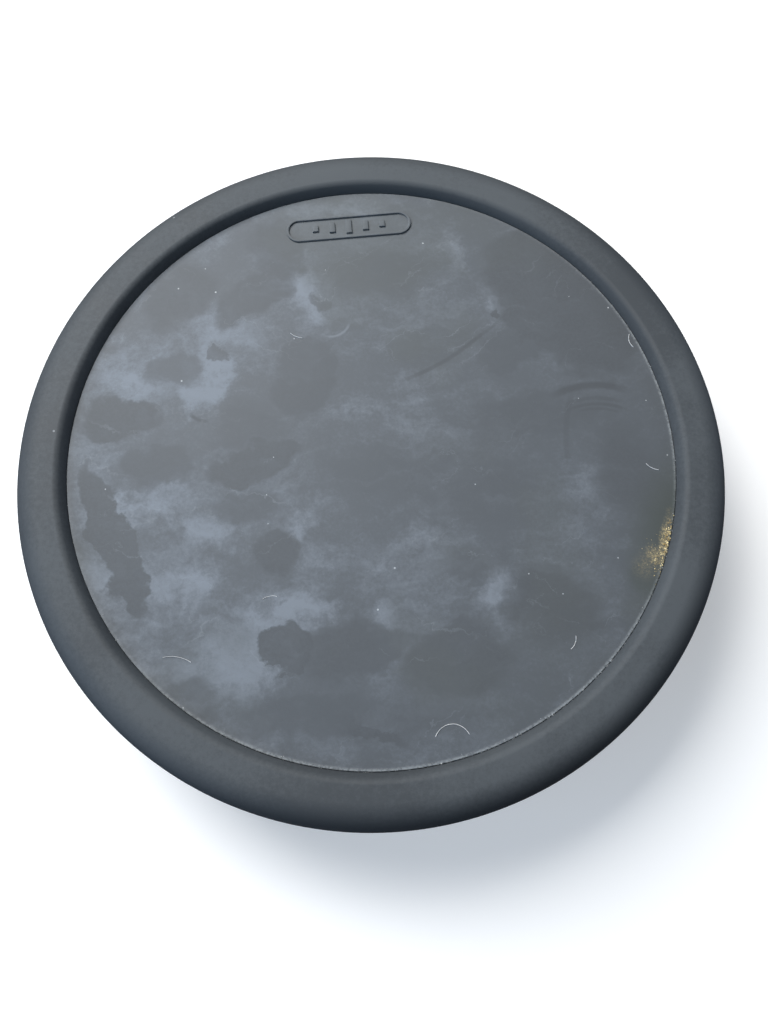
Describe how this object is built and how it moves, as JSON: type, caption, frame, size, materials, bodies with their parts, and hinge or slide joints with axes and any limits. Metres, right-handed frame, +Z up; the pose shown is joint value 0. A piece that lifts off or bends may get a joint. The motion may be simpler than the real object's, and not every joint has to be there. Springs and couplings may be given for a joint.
{
  "type": "practice pad",
  "caption": "Round rubber practice pad with a raised rolled rim, a steel-backed playing disc, a plastic base shell, a sensor jack and a wing-bolt clamp for a mounting rod.",
  "frame": {"origin": "on the ground plane under the centre of the round pad, at the bottom of its feet", "axes": "+Z up, out of the playing face; +Y away from the player, towards the raised mark and the rod's mouth; +X to the player's right, towards the wing bolt"},
  "size_m": [0.22, 0.22, 0.0444],
  "materials": {
    "playing_rubber": "moulded rubber, dull, with a greyish bloom",
    "rim_rubber": "moulded rubber, satin",
    "plate_steel": "zinc-plated sheet steel",
    "shell_plastic": "black ABS, fine spark texture",
    "foot_rubber": "dull black rubber",
    "foam": "closed-cell foam",
    "screw_steel": "black zinc",
    "plated_steel": "bright zinc",
    "clamp_plastic": "glass-filled nylon",
    "grip_plastic": "moulded nylon, satin",
    "jack_plastic": "black plastic",
    "nickel": "nickel plate",
    "brass": "rolled brass",
    "ceramic_white": "silvered ceramic",
    "tape_foam": "white foam tape",
    "lead_red": "red PVC",
    "lead_black": "black PVC",
    "solder": "tin solder",
    "clip_nylon": "natural nylon"
  },
  "bodies": {
    "pad": {"playing_surface": "playing_rubber", "rubber_rim": "rim_rubber", "steel_plate": "plate_steel", "plate_standoffs": "plated_steel", "shell_screws": "screw_steel", "foam_ring": "foam", "base_shell": "shell_plastic", "pod_cover": "shell_plastic", "pod_screws": "screw_steel", "rubber_feet": "foot_rubber", "clamp_block": "clamp_plastic", "clamp_screws": "screw_steel", "clamp_nut": "plated_steel", "jack_body": "jack_plastic", "jack_bushing": "nickel", "jack_washer": "nickel", "jack_nut": "nickel", "jack_tip_contact": "nickel", "jack_sleeve_contact": "nickel", "sensor_tape": "tape_foam", "piezo_brass": "brass", "piezo_ceramic": "ceramic_white", "lead_red": "lead_red", "lead_black": "lead_black", "solder_joints": "solder", "lead_clip": "clip_nylon"},
    "jaw": {"clamp_jaw": "plated_steel"},
    "wing": {"wing_bolt": "plated_steel", "wing_grip": "grip_plastic"}
  },
  "joints": [
    {"name": "jaw_slide", "type": "slide", "parent": "pad", "child": "jaw", "axis": [-1, 0, 0], "range_m": [0, 0.0015]},
    {"name": "wing_turn", "type": "hinge", "parent": "jaw", "child": "wing", "pos_m": [0, 0.056, 0.0145], "axis": [-1, 0, 0], "range_deg": [0, 540]}
  ],
  "couplings": [
    {"joint": "wing_turn", "follows": "jaw_slide", "rad_per_m": 6283.1}
  ]
}
